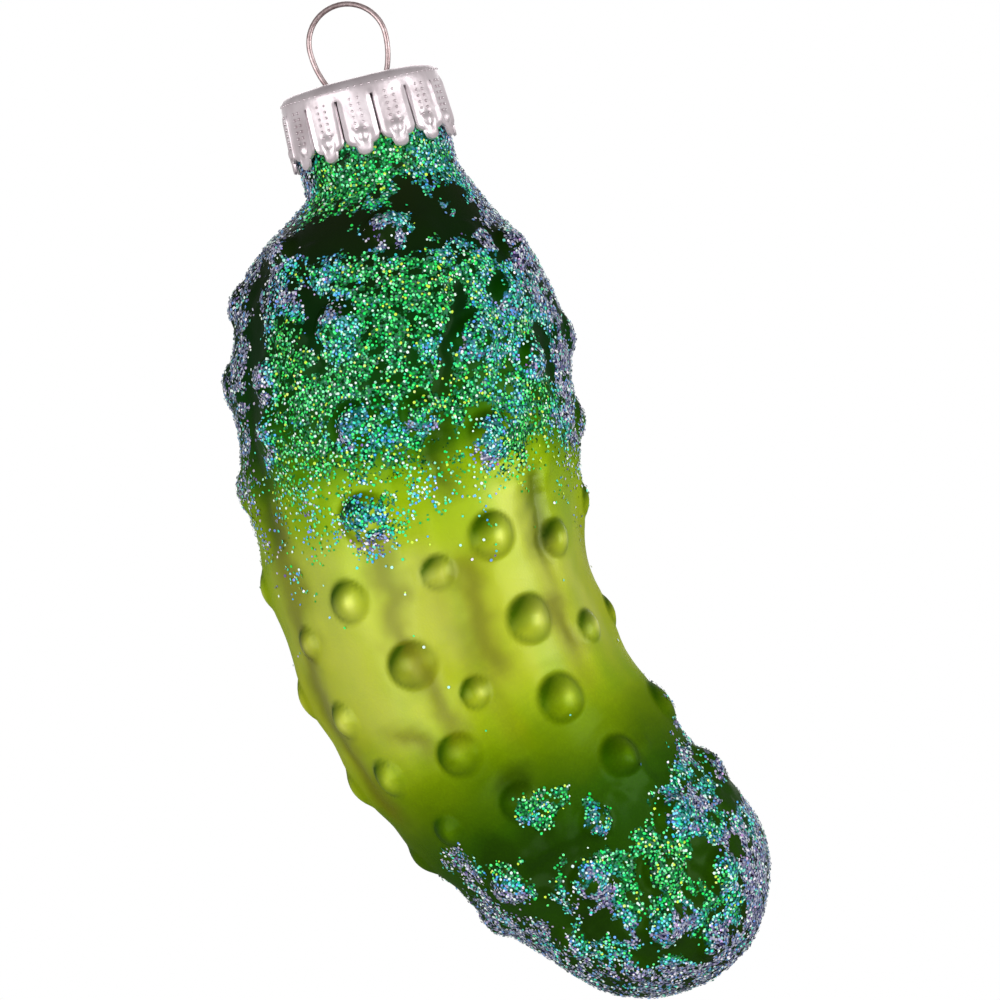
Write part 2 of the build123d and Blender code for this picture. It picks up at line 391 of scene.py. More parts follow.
for (_, turn, radius), form, foot, foot_lean in zip(WARTS, wart_forms, wart_feet, wart_leans):
    core_share, swell_reach = form
    away = np.linalg.norm(points - foot, axis=1) / radius
    near = outside & (away < WART_REACH)
    t = away[near]
    level = math.cos(math.radians(turn))
    uphill = np.array((-math.sin(foot_lean), 0, math.cos(foot_lean)))
    eastward = np.array((
        level * math.cos(foot_lean), math.sin(math.radians(turn)), level * math.sin(foot_lean),
    ))
    rise = (points[near] - foot) @ uphill / radius
    east = (points[near] - foot) @ eastward / radius
    core = core_share * np.clip(1 - (t / CORE_EDGE) ** 2, 0, 1) ** CORE_ROUND
    swell = (1 - core_share) * bell(t, 0, swell_reach)
    lift_to(dome, near, WART_HEIGHT_SHARE * radius * (core + swell))
    lift_to(moat, near, bell(t, MOAT_AT, RING_WIDTH))
    # Painted shade: a dark ring at the foot, darkest up and left, and a dark upper-left slope.
    up_left = 0.75 * rise - 0.6 * east
    ring = bell(t, RING_AT, RING_WIDTH) * (0.5 + 0.4 * np.clip(up_left, -1, 1))
    slope = np.clip(1.25 * up_left + 0.1, 0, 1) * step(-t, -MOAT_AT, -0.9)
    lift_to(shade, near, np.maximum(ring, slope))
    # Painted highlight: a pale spot just right of and below the middle of the wart.
    lift_to(crown, near, bell(east, 0.2, 0.24) * bell(rise, -0.12, 0.36))
    # Painted shade: glitter is left off the upper-left flank. Painted reflection colour: violet grey
    # under the lump.
    flank = step(t, 0.55, 0.9) * step(-t, -1.4, -1.1)
    lift_to(bare_side, near, flank * step(0.5 * rise - 0.8 * east, 0.15, 0.65))
    lift_to(under_side, near, flank * step(-0.85 * rise - 0.3 * east, 0.1, 0.7))
print("warts over", share(dome > 0.1))

# %% Crust of glue at both ends
GLUED_DOME = 0.35
CRUST_HEIGHT, CRUST_SIZE = 0.7, 4.6
glued = np.maximum(step(-along, -36, -28), step(along, 64, 70))
face_on = np.abs(forward)
dome *= 1 + GLUED_DOME * glued * face_on
crust = CRUST_HEIGHT * np.clip(speckle(CRUST_SIZE, 71.0) + 0.05, 0, 0.7) * glued * step(along, 2, 8)
dome += crust * (0.3 + 0.7 * face_on) * outside
print("highest wart:", round(float(dome.max()), 2), "mm")

# %% [markdown]
# ## Creases, grooves, shade streaks and dark spots
# The mould leaves soft creases that wander down the length: a wave round the skin, bent and
# broken up by noise. A few deeper grooves, streaks of painted shade, pale bands of the lacquer
# and dark spots at the foot of the tip follow this pickle alone, so they are listed one by one,
# a line as a width and a short route, and a spot as a place and a radius. The back repeats the front.

# %% Soft creases down the length
CREASE_COUNT = 8
CREASE_WANDER, CREASE_SHARPNESS = 3.6, 1.4


def noise_round(stretch, fineness, shift=0.0):
    """Noise that closes round the skin, stretched along it by a length in millimetres."""
    places = np.stack([along / stretch, fineness * rightward, fineness * forward + shift], 1)
    return np.array([noise.noise(Vector(p)) for p in places])


wave = np.cos(np.radians(around * CREASE_COUNT) + CREASE_WANDER * noise_round(21, 2.0))
crease = (0.5 + 0.5 * wave) ** CREASE_SHARPNESS * step(noise_round(15, 1.4, 7.0), -0.35, 0.45)
crease *= step(along, 4, 12) * step(-along, -86, -70) * outside
pleat = noise_round(16, 4.0)
print("creases over", share(crease > 0.3))

# %% Grooves, shade streaks, pale bands and dark spots
GROOVES = [
    (8.0, [(6, -70), (14, -64), (17, -62), (21, -64), (25, -67), (33, -67), (37, -69)]),
    (3.8, [(6, -43), (10, -36), (12.5, -31), (15.5, -35), (18, -28), (20, -24)]),
    (4.0, [(9, 25), (13, 24), (16, 18), (21, 12), (27, 12), (34, 11)]),
    (5.0, [(14, 60), (19, 63), (25, 66)]),
    (5.5, [(29, 48), (34, 48), (39, 46), (43, 46)]),
]
# Streaks of painted shade: pressed in a little, and painted dark by the lacquer's mixes.
STREAKS = [
    (6.0, [(33, -17), (39, -15), (44, -16), (48, -15), (52, -14), (57, -12)]),
    (7.0, [(37, 12), (41, 12), (44, 14), (48, 13), (54, 15)]),
    (8.0, [(29, -58), (35, -60), (39, -62), (42, -62), (46, -68), (52, -68), (60, -68)]),
    (6.0, [(50, -42), (54, -31), (57, -28)]),
    (6.0, [(44, 40), (50, 44), (56, 46)]),
]
PALE_BANDS = [
    (15.0, [(33, -37), (39, -42), (45, -41), (50, -38), (57, -36)]),
    (9.0, [(35, -3), (41, -3), (46, 0), (50, 2)]),
    (8.0, [(30, 33), (36, 38), (44, 42), (52, 40), (57, 44)]),
    (8.0, [(40, 58), (45, 58), (50, 62), (56, 62)]),
]
# Dark spots at the foot of the tip, painted into the groove mix.
STAINS = [(68.6, -20, 5.0, 0.8), (66.0, -36, 3.4, 0.8), (75.6, -31, 3.0, 0.8), (61.6, -8, 2.2, 0.8)]
LINE_RAGGED = 5


def drawn_down(routes):
    """Soft lines down the skin, front and back, each a width in degrees and a route."""
    drawn = np.zeros(len(points))
    for width, route in routes:
        downs, turns = zip(*route)
        away = np.abs(front_turn + LINE_RAGGED * ragged - np.interp(along, downs, turns))
        ends = step(along, downs[0], downs[0] + 3) * step(-along, -downs[-1], -downs[-1] + 4)
        drawn = np.maximum(drawn, bell(away, 0, width) * ends * outside)
    return drawn


def spots_on_skin(spot_rows):
    """Each spot's amount and the skin's distance from it in its radii, in front and at the back."""
    for down, turn, radius, amount in spot_rows:
        for foot in skin_at([down, down], [turn, turn + 180]):
            yield amount, np.linalg.norm(points - foot, axis=1) / radius


groove, streak, pale_band = (drawn_down(routes) for routes in (GROOVES, STREAKS, PALE_BANDS))
stain = np.zeros(len(points))
for amount, away in spots_on_skin(STAINS):
    stain = np.maximum(stain, amount * step(-away - 0.4 * ragged, -1.2, -0.4))
print("grooves over", share(groove > 0.3))

# %% Raise the warts and press in the creases
RAISE, SINK = 1.6, 1.0
CREASE_DEPTH, GROOVE_DEPTH, STREAK_DEPTH, MOAT_DEPTH = 0.3, 0.45, 0.15, 0.04


def weigh(piece, name, weights):
    """Fills a vertex group with one weight for each vertex that has any."""
    group = piece.vertex_groups.new(name=name)
    for index in np.flatnonzero(weights > 1e-4):
        group.add([int(index)], float(weights[index]), "REPLACE")


weigh(glass, "raised", np.clip(dome / RAISE, 0, 1))
sunk = CREASE_DEPTH * crease + GROOVE_DEPTH * groove + STREAK_DEPTH * streak + MOAT_DEPTH * moat
weigh(glass, "sunk", np.clip(sunk / SINK, 0, 1))
for name, strength in (("raised", RAISE), ("sunk", -SINK)):
    apply_modifier(glass, "DISPLACE", vertex_group=name, strength=strength * MM, mid_level=0.0)
pick(glass)
bpy.ops.object.vertex_group_remove(all=True)
bpy.ops.object.shade_smooth()
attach(glass, "pickle")
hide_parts("glass_pickle")
print("glass skin:", 2 * len(glass.data.polygons), "triangles at most")

# %% Paint what the lacquer reads
UPPER_TILT, LOWER_TILT, LOWER_SHIFT = 4.5, 5.4, 0.6


def paint(piece, attribute, values):
    """Stores one number for each vertex, for a modifier or a material to read."""
    layers = piece.data.attributes
    layer = layers.get(attribute) or layers.new(attribute, "FLOAT", "POINT")
    layer.data.foreach_set("value", np.asarray(values, np.float32))


low_end = step(along, 46, 60)
upper_right = np.maximum(rightward, -0.25) * (1 - step(rightward, 0.6, 0.92)) * step(-along, -44, -34)
lower_right = np.maximum(rightward, -0.3) * low_end
spray_tilt = UPPER_TILT * upper_right - LOWER_TILT * lower_right
PAINTS = {
    "along": along, "spray": along + LOWER_SHIFT * low_end + spray_tilt, "face_on": face_on,
    "shade": shade, "crown": crown, "crease": crease, "groove": np.maximum(groove, stain),
    "streak": streak, "pleat": pleat, "pale_band": pale_band,
}
for name, values in PAINTS.items():
    paint(glass, name, values)
print("painted:", ", ".join(PAINTS))

# %% [markdown]
# ## Writing materials as sums
# A material is a graph of nodes. Written as Python, one small class wraps a socket so that
# `1 - mask * 0.5` adds the Math nodes by itself, and a finish adds every other node by type.

# %% Sockets in sums


class Value:
    """A socket holding one number for each point, which can be used in sums."""

    def __init__(self, graph, socket):
        self.graph = graph
        self.socket = socket

    def math(self, operation, first, second):
        return self.graph.node("ShaderNodeMath", {"operation": operation}, {0: first, 1: second})

    def __add__(self, other):
        return self.math("ADD", self, other)

    def __sub__(self, other):
        return self.math("SUBTRACT", self, other)

    def __rsub__(self, other):
        return self.math("SUBTRACT", other, self)

    def __mul__(self, other):
        return self.math("MULTIPLY", self, other)

    __radd__ = __add__
    __rmul__ = __mul__

    def floor(self):
        return self.math("FLOOR", self, 0.0)

    def held(self, low, high):
        """The number, kept between two others."""
        return self.math("MINIMUM", self.math("MAXIMUM", self, low), high)

    def steps(self, low, high):
        """A soft step from 0 at low to 1 at high."""
        sockets = {"Value": self, "From Min": low, "From Max": high}
        return self.graph.node("ShaderNodeMapRange", {"interpolation_type": "SMOOTHSTEP"}, sockets)


print("sockets can be summed")

# %% Graphs of nodes


class Graph:
    """A node tree, and one method that adds any node to it."""

    def __init__(self, tree):
        self.tree = tree

    def node(self, kind, settings=None, sockets=None, output=0):
        """Adds a node of any type: its settings first, then the values or links of its sockets."""
        made = self.tree.nodes.new(kind)
        for setting, value in (settings or {}).items():
            if setting == "stops":
                stops = made.color_ramp.elements
                while len(stops) < len(value):
                    stops.new(1.0)
                for stop, (position, colour) in zip(stops, value):
                    stop.position = position
                    stop.color = colour
            else:
                setattr(made, setting, value)
        for socket, value in (sockets or {}).items():
            self.feed(made.inputs[socket], value)
        return Value(self, made.outputs[output]) if made.outputs else None

    def feed(self, socket, value):
        """Links a socket, or sets it."""
        if isinstance(value, Value):
            self.tree.links.new(value.socket, socket)
        else:
            socket.default_value = value

    def mix(self, mask, below, above, blend="MIX"):
        """One colour over another by a mask."""
        settings = {"data_type": "RGBA", "blend_type": blend}
        return self.node("ShaderNodeMix", settings, {0: mask, 6: below, 7: above}, output=2)

    def ramp(self, value, stops, interpolation="LINEAR"):
        """A colour looked up along a row of stops."""
        colour = self.node("ShaderNodeValToRGB", {"stops": stops}, {"Fac": value})
        colour.socket.node.color_ramp.interpolation = interpolation
        return colour


print("graphs ready")

# %% Finishes


class Finish(Graph):
    """One material with a Principled shader."""

    def __init__(self, name, **constants):
        self.material = bpy.data.materials.new(name)
        self.material.use_nodes = True
        super().__init__(self.material.node_tree)
        self.shader = self.tree.nodes["Principled BSDF"]
        self.finish(**constants)

    def attribute(self, name):
        return self.node("ShaderNodeAttribute", {"attribute_name": name}, output="Fac")

    def place(self):
        """The point on the object in millimetres, for textures of real sizes."""
        spot = self.node("ShaderNodeTexCoord", output="Object")
        return self.node("ShaderNodeVectorMath", {"operation": "SCALE"}, {0: spot, "Scale": 1 / MM})

    def noise(self, size, detail=2.0, where=None):
        """Noise from 0 to 1 with blotches about that many millimetres across."""
        sockets = {"Vector": where or self.place(), "Scale": 1 / size, "Detail": detail}
        return self.node("ShaderNodeTexNoise", None, sockets)

    def bump(self, height, strength=1.0):
        """A normal that follows a height in millimetres."""
        return self.node("ShaderNodeBump", None, {"Height": height, "Distance": MM, "Strength": strength})

    def finish(self, **sockets):
        """Sets or links the shader's sockets and hands the material over."""
        for socket, value in sockets.items():
            self.feed(self.shader.inputs[socket.replace("_", " ")], value)
        return self.material


def srgb(red, green, blue):
    """A colour written as 0 to 255, as linear light."""
    parts = [c / 255 for c in (red, green, blue)]
    return tuple(c / 12.92 if c <= 0.04045 else ((c + 0.055) / 1.055) ** 2.4 for c in parts) + (1.0,)


print("materials ready")

# %% [markdown]
# ## Where the glitter lies
# Glue is brushed on and glitter shaken over it, so it lies thick over the shoulder and
# neck, thins out to single flakes at an uneven edge, and comes back in patches on the
# warts of the lower end and all round its rim. It misses some oval spots, the grooves and
# small gaps, and it is left off the upper-left flank of each wart as painted shade. One
# number painted for each vertex says how thick it lies, and both the flakes and the fine
# bed on the lacquer follow it.

# %% Where the glue is
FULL_TO, BARE_FROM = 26.0, 42.0
PATCHES = [
    (5.0, 0, 2.2, 0.9), (33.0, -16, 3.3, 1.0), (64.5, -8, 1.7, 0.9), (65.3, 1, 1.1, 0.8),
    (69.2, 5, 1.6, 0.8), (64.2, -56, 2.2, 0.9), (67.8, -42, 2.4, 1.0), (73.4, -16, 3.2, 1.0),
    (76.6, 9, 3.5, 1.0), (80.0, -8, 3.5, 1.0), (75.9, 35, 2.9, 1.0), (74.6, 70, 3.2, 1.0),
    (63.8, 84, 1.5, 0.7), (79.5, 50, 3.4, 1.0), (84.5, 27, 3.4, 1.0), (86.5, 0, 3.0, 0.9),
    (79.6, -44, 2.8, 1.0), (76.4, -50, 2.6, 0.9), (85.0, -40, 3.4, 1.0), (75.0, -66, 3.4, 0.9),
    (82.0, -60, 3.6, 1.0), (87.6, 50, 3.4, 1.0), (70.0, -90, 3.2, 0.8), (80.0, -90, 4.0, 0.9),
    (88.0, -60, 4.0, 0.9), (80.5, 92, 4.0, 0.9), (88.0, 90, 4.0, 0.9), (94.0, 0, 4.0, 0.9),
    (23.4, 7, 2.0, 1.0), (26.5, 28, 2.9, 1.0), (27.4, 5, 2.4, 0.6), (31.5, 1, 3.2, 0.4),
    (73.4, -26, 2.0, 0.9), (76.2, -24, 1.2, 0.8),
]
BARE_SHOULDER = [(5.2, -22, 2.7, 26), (4.2, 22, 3.4, 20), (3.4, 46, 2.0, 14), (6.6, 10, 1.8, 14)]
BARE_TIP = [
    (79.4, 72, 1.5, 22), (83.0, 42, 1.2, 9), (82.0, -31, 1.2, 7), (85.5, -19, 1.2, 8),
    (76.3, -30, 1.2, 8),
]
GLUE_FADE = 1.8
EDGE_RAGGED, RIGHT_SHIFT, LEFT_SHIFT = 6.0, 3.0, 0.8
GROOVE_BARE = 0.95
PATCH_SPREAD = 1.18
right_side = step(rightward, 0.07, 0.44) - 0.7 * step(rightward, 0.75, 0.95)
left_side = step(-rightward, 0.34, 0.67)
edge = along + EDGE_RAGGED * ragged + RIGHT_SHIFT * right_side - LEFT_SHIFT * left_side
sown = step(-edge, -BARE_FROM, -FULL_TO) ** GLUE_FADE


def left_over(bare_spots):
    """The share of glitter left by oval bare spots, each a place and its two half widths."""
    left = np.ones(len(points))
    for down, turn, high, wide in bare_spots:
        away = np.hypot((along - down) / high, (front_turn - turn) / wide)
        left *= 1 - step(-away - 0.7 * blotchy - 0.4 * ragged, -1.1, -0.8)
    return left


sown *= left_over(BARE_SHOULDER)
sown *= 1 - GROOVE_BARE * step(groove + 0.35 * blotchy, 0.45, 0.75)
for amount, away in spots_on_skin(PATCHES):
    spread = away / PATCH_SPREAD + 0.5 * blotchy + 0.3 * ragged
    sown = np.maximum(sown, amount * step(-spread, -1.12, -0.72))
print("glue on", share(sown[outside] > 0.5))

# %% Rim of the tip, gaps and single flakes
RIM_TURN, RIM_SOFT = 52, 14
GAP_BARE, FLANK_BARE = 0.85, 0.85
STRAY_SHARE = 0.0008
EDGE_BARE, LEFT_BARE = 0.7, 0.3
tip_tilt = np.maximum(along - SPINE_LENGTH, 0) / TIP_RADIUS
facing = np.cos(np.radians(front_turn)) * np.cos(tip_tilt)
turned = np.degrees(np.arccos(np.clip(facing, 0, 1)))
right_tip = step(rightward, 0.17, 0.64)
rim = step(turned + 14 * ragged - RIM_TURN + 10 * right_tip, 0, RIM_SOFT)
sown = np.maximum(sown, rim * step(along + 3 * ragged - 7 * right_tip, 65, 69))
sown *= left_over(BARE_TIP)
in_tip = step(along, 58, 64)
at_rim = step(turned, 46, 66)
fuller = 0.16 * in_tip * (1 - at_rim) + 0.25 * step(-along, -3, 0) + 0.1 * right_side
gaps = step(clumps + 0.7 * blotchy + 0.25 * moat - fuller, 0.12, 0.36)
sown *= 1 - GAP_BARE * gaps
at_fade = step(along, 28, 31) * step(-along, -37, -34)
# Painted shade: flakes are left off each wart's upper-left flank, so it reads dark.
sown *= 1 - FLANK_BARE * bare_side * (1 - at_fade)
sown = np.maximum(sown, STRAY_SHARE * (along > BARE_FROM)) * outside * step(along, -5.2, -4.2)
paint(glass, "sown", sown)
thin_edge = step(along, 26, 31) * (1 - in_tip) * (1 - np.clip(dome / 0.7, 0, 1))
# Painted shade: the bed is thinned on the left side, so that side reads darker.
scant = step(-rightward, 0.3, 0.7)
paint(glass, "bed", sown * (1 - EDGE_BARE * thin_edge) * (1 - LEFT_BARE * scant))
print("glitter covers", share(sown[outside]))

# %% [markdown]
# ## Which way its colour turns
# Such glitter shows green where the skin faces out, blue to one side, and violet grey under
# the lumps and round the sides. A thin film alone could turn its colour by angle, but a
# baked map keeps no angles. So a second painted number runs from 0 for green to 1 for
# violet. Its blue to the right and its violet round the sides, on the lumps and under them
# are painted reflection colour, set by where the skin lies, and this pickle's own patches of
# colour are laid into it as soft spots.

# %% Paint from green to violet
TINTS = [
    (7.5, -45, 4.6, 0.25), (11.8, -30, 2.9, 0.45), (11.5, -60, 4.4, 0.35), (16.2, -22, 1.8, -0.5),
    (5.5, 66, 4.6, 0.3), (10.5, 66, 4.4, 0.3), (23.0, 46, 5.0, -0.14), (29.0, 52, 4.5, -0.24),
    (73.5, 66, 4.4, -0.3), (80.5, 60, 3.6, -0.2), (74.6, -26, 3.0, 0.45), (78.2, 10, 3.4, -0.35),
    (82.6, -8, 2.4, 0.4), (85.0, -16, 2.4, -0.4), (77.6, -25, 2.4, 0.4), (23.4, -22, 2.6, 0.3),
    (22.6, -56, 3.0, 0.25),
]
SIDE_TINT, RIGHT_TINT, EDGE_TINT, SHOULDER_TINT = 0.85, 0.33, 0.3, 0.3
LUMP_TINT, UNDER_TINT, MINGLED_TINT = 0.32, 0.5, 0.42
# Painted reflection colour: violet round the sides and on and under the lumps, blue to the right.
sideways = turned + 10 * ragged + in_tip * (12 + 8 * right_tip) + 5 * left_side
on_right = step(rightward + 0.2 * ragged, 0.3, 0.58)
lumpy = LUMP_TINT * np.clip(dome / 0.9, 0, 1) * glued + UNDER_TINT * under_side
at_shoulder = step(along, 2, 4) * step(-along, -9, -7)
tinted = np.maximum(SIDE_TINT * step(sideways, 52, 74), RIGHT_TINT * on_right)
tinted = np.maximum(tinted, EDGE_TINT * step(along, 27, 33) * (1 - in_tip))
calmer = 1 - 0.4 * on_right
mingled = MINGLED_TINT * speckle(3.4, 57.0) * calmer
zone = 0.04 + tinted + lumpy * calmer + SHOULDER_TINT * at_shoulder + mingled
for amount, away in spots_on_skin(TINTS):
    zone += amount * step(-away - 0.5 * ragged, -1.2, -0.6)
zone = np.clip(zone, 0, 1)
paint(glass, "zone", zone)
shares = np.histogram(zone[sown > 0.3], [0, 1 / 3, 2 / 3, 1])[0] / (sown > 0.3).sum()
print("green, blue and violet shares:", np.round(shares, 2))

# %% [markdown]
# ## Tones of the flakes
# Glitter reads as a fine grey bed with bright points in it. Both are drawn from short rows
# of tones, a row for each colour family, and the brightest, near-white tones of the points
# are painted glints. A flake draws its family by its zone and then one tone by chance, so
# the rows lie side by side in one stepped ramp, and a single number picks the colour. A
# tone that is listed twice comes up twice as often.

# %% Rows of tones
BED = [
    [(6, 44, 16), (12, 66, 28), (20, 92, 44), (34, 116, 64), (48, 128, 80), (24, 104, 50),
     (70, 112, 98)],
    [(8, 62, 46), (14, 90, 72), (28, 116, 98), (46, 138, 120), (66, 146, 142), (54, 116, 150),
     (92, 138, 154)],
    [(20, 18, 28), (50, 46, 84), (92, 94, 130), (128, 132, 160), (158, 162, 184), (200, 204, 218),
     (76, 104, 136)],
]
# Partly the flakes' own colours, partly painted glints: the brightest and near-white tones.
SPARKS = [
    [(10, 200, 76), (20, 236, 90), (50, 255, 120), (130, 255, 170), (225, 255, 235), (24, 180, 72),
     (40, 225, 140), (14, 160, 56), (214, 250, 70), (90, 255, 130)],
    [(30, 200, 180), (50, 235, 200), (130, 255, 225), (60, 180, 250), (130, 220, 255), (50, 240, 150),
     (225, 255, 245), (90, 160, 240), (190, 255, 230), (80, 245, 210)],
    [(150, 148, 184), (184, 180, 212), (96, 90, 148), (124, 124, 160), (240, 238, 250), (110, 160, 210),
     (110, 215, 190), (176, 174, 196), (235, 255, 246), (96, 146, 218)],
]
FAMILIES = len(BED)
ZONE_MIX = 0.34


def rows_of(families):
    """Ramp stops for rows of tones, side by side."""
    return [
        ((row + k / len(tones)) / len(families), srgb(*tone))
        for row, tones in enumerate(families) for k, tone in enumerate(tones)
    ]


def tone_place(zone_here, family_draw, tone_draw):
    """Where in the rows a flake's tone is, from its zone and two draws between 0 and 1."""
    family = ((zone_here + (family_draw - 0.5) * ZONE_MIX) * FAMILIES).floor().held(0.0, FAMILIES - 1.0)
    return (family + tone_draw * 0.999) * (1 / FAMILIES)


print("tones:", [len(row) for row in BED + SPARKS])

# %% [markdown]
# ## Green lacquer over silvering
# The glass is silvered inside and sprayed outside with a thin satin lacquer, almost black
# at the shoulder, yellow-green in the middle and deep green at the tip. So its colour is a
# ramp along the spray, and what was painted on the skin is mixed over it, one mix at a time:
# tones of the lacquer, painted shade on the warts, creases, streaks and grooves, and a
# painted highlight on each wart. It is partly a metal with a broad gloss, and its edge tint
# is dark, because a slanting look passes through more lacquer. A clear gloss shows mostly
# where the lacquer is thin, on skin that faces front or back, and not on the painted shade
# of the warts.

# %% Lacquer along the spray
LACQUER_START, LACQUER_END = -12.0, 98.0
LACQUER_TONES = [
    (-4.5, (5, 7, 4)), (-3, (18, 56, 20)), (2, (24, 36, 14)), (9, (14, 38, 10)), (14, (8, 50, 12)),
    (20, (12, 60, 8)), (24, (32, 84, 2)), (27.5, (78, 124, 2)), (31, (138, 170, 6)),
    (35, (158, 180, 20)), (44, (166, 176, 38)), (52, (162, 175, 30)), (56, (136, 158, 10)),
    (58.5, (104, 130, 2)), (62, (76, 104, 0)), (66, (44, 80, 1)), (70, (32, 68, 3)), (96, (24, 48, 6)),
]
BLOTCH_SHIFT = 0.04
lacquer = Finish(
    "satin_green_lacquer", Specular_Tint=srgb(40, 56, 10), IOR=1.1, Coat_Roughness=0.24, Coat_IOR=1.5,
)


def spray_share(place):
    """Where a distance along the spray, a number or a socket, lies between the ramp's ends."""
    return (place - LACQUER_START) * (1 / (LACQUER_END - LACQUER_START))


spray = lacquer.attribute("spray")
blotch = lacquer.noise(7.0, 3.0)
fine_blotch = lacquer.noise(2.2, 2.0)
grain = lacquer.noise(0.25, 2.0)
thin = spray.steps(27, 36) - spray.steps(50, 60)
tone_stops = [(spray_share(place), srgb(*tone)) for place, tone in LACQUER_TONES]
body = lacquer.ramp(spray_share(spray) + (blotch - 0.5) * BLOTCH_SHIFT, tone_stops)
print("lacquer along the spray:", len(tone_stops), "tones")

# %% Lacquer tones, painted shade and painted highlights
on_skin = lacquer.attribute
pleated = on_skin("pleat").steps(-0.1, 0.5) * 0.35
greener = pleated + lacquer.noise(5.0, 2.0).steps(0.45, 0.7) * 0.25
creased = on_skin("crease").steps(0.1, 0.9) * on_skin("along").steps(30, 42)
specks = 0.6 + on_skin("along").steps(46, 58) * 0.9
mottle = (grain - 0.5) * specks + (fine_blotch - 0.5) * 0.4 + 0.1
COATS = [
    (greener, (116, 152, 6), "DARKEN"),
    (on_skin("pale_band") * thin * 0.5, (192, 196, 92), "MIX"),
    # Painted highlight: a pale spot by the middle of each wart.
    (on_skin("crown") * 0.55, (255, 255, 230), "SOFT_LIGHT"),
    (on_skin("crown") * thin * 0.4, (220, 222, 130), "MIX"),
    # Painted shade: the dark ring and upper-left slope of each wart.
    (on_skin("shade") * 0.92, (38, 72, 0), "DARKEN"),
    # Painted shade in the creases, the shade streaks and the grooves, which also carry the dark spots.
    (creased * 0.3, (120, 120, 30), "DARKEN"),
    (on_skin("streak") * 0.72, (104, 102, 18), "DARKEN"),
    (on_skin("groove") * 0.65, (18, 36, 8), "DARKEN"),
    (mottle, (210, 214, 110), "SOFT_LIGHT"),
]
for mask, tone, blend in COATS:
    body = lacquer.mix(mask, body, srgb(*tone), blend)
print(len(COATS), "mixes over the lacquer")

# %% Bed of fine glitter on the lacquer
BED_FLAKE = 0.2
BED_FROM, BED_SPREAD, BED_EDGE = 0.3, 0.6, 0.04
LACQUER_METAL = 0.32
cells = lacquer.node(
    "ShaderNodeTexVoronoi", None, {"Vector": lacquer.place(), "Scale": 1 / BED_FLAKE}, output="Color"
)
channels = lacquer.node("ShaderNodeSeparateColor", None, {"Color": cells}).socket.node.outputs
family_draw, tone_draw, place_draw = (Value(lacquer, channel) for channel in channels)
bed_place = tone_place(on_skin("zone"), family_draw, tone_draw)
bed_tones = lacquer.ramp(bed_place, rows_of(BED), "CONSTANT")
# Painted shade also darkens the glitter bed on the warts' shaded slopes.
bed_tones = lacquer.mix(on_skin("shade") * 0.75, bed_tones, srgb(12, 24, 20))
lying = (on_skin("bed") * 1.1 - BED_FROM - place_draw * BED_SPREAD).steps(0.0, BED_EDGE)
relief = lacquer.bump(grain * 0.03 + fine_blotch * 0.05 + lying * (0.05 + tone_draw * 0.1), 0.6)
glossy = (thin * 0.26 + 0.06) * on_skin("face_on").steps(0.1, 0.6)
glass.data.materials.append(lacquer.finish(
    Base_Color=lacquer.mix(lying, body, bed_tones), Roughness=0.42 + grain * 0.16, Normal=relief,
    Metallic=LACQUER_METAL - lying * LACQUER_METAL,
    Coat_Weight=glossy * (1 - lying) * (1 - on_skin("shade")),
))
print("lacquer on", glass.name)

# %% [markdown]
# ## Flakes that sparkle
# Over the bed lie the flakes that happen to face the light. Each is a real little hexagon
# at its own slant, which is what makes it sparkle. Particles could scatter them too, but
# geometry nodes sow them by the painted thickness and hand each flake its own tone. The
# flakes are kept, and the copy of the skin that carried them is not.

# %% One flake, and the graph that sows it
FLAKE_RADIUS = 0.14
FLAKES_PER_MM2 = 8.5
FLAKE_SLANT = math.radians(24)
FLAKE_SCALES = (0.7, 1.2)
FLAKE_LIFTS = (0.02 * MM, 0.16 * MM)
flake = start(
    "flake", bpy.ops.mesh.primitive_circle_add, vertices=6, radius=FLAKE_RADIUS * MM, fill_type="NGON",
)
sower_tree = bpy.data.node_groups.new("sow_glitter", "GeometryNodeTree")
sower_tree.interface.new_socket("Skin", in_out="INPUT", socket_type="NodeSocketGeometry")
sower_tree.interface.new_socket("Flakes", in_out="OUTPUT", socket_type="NodeSocketGeometry")
sower = Graph(sower_tree)


def random_between(low, high, seed, kind="FLOAT"):
    """A random number or vector for each flake."""
    which = {"FLOAT": (2, 3, 1), "FLOAT_VECTOR": (0, 1, 0)}[kind]
    sockets = {which[0]: low, which[1]: high, "Seed": seed}
    return sower.node("FunctionNodeRandomValue", {"data_type": kind}, sockets, output=which[2])


def painted(name, kind="FLOAT"):
    """What was painted on the skin under a flake."""
    return sower.node("GeometryNodeInputNamedAttribute", {"data_type": kind}, {"Name": name})


skin = sower.node("NodeGroupInput")
scatter = {"Mesh": skin, "Density": painted("sown") * (FLAKES_PER_MM2 / MM**2), "Seed": 5}
spots = sower.node("GeometryNodeDistributePointsOnFaces", None, scatter)
lying_flat = Value(sower, spots.socket.node.outputs["Rotation"])
slant = random_between((-FLAKE_SLANT,) * 3, (FLAKE_SLANT, FLAKE_SLANT, math.pi), 1, "FLOAT_VECTOR")
slanted = sower.node("FunctionNodeRotateRotation", {"rotation_space": "LOCAL"}, {0: lying_flat, 1: slant})
shape = sower.node("GeometryNodeObjectInfo", None, {"Object": flake}, output="Geometry")
laid = sower.node(
    "GeometryNodeInstanceOnPoints", None,
    {"Points": spots, "Instance": shape, "Rotation": slanted, "Scale": random_between(*FLAKE_SCALES, 2)},
)
lift = sower.node("ShaderNodeCombineXYZ", None, {"Z": random_between(*FLAKE_LIFTS, 3)})
laid = sower.node("GeometryNodeTranslateInstances", None, {"Instances": laid, "Translation": lift})
print("flake and sower ready")

# %% Give each flake its tone, and a map that holds one patch for each tone
MAP_EDGE = 0.02
PATCH_WIDE, PATCH_HIGH = 0.006, 0.02


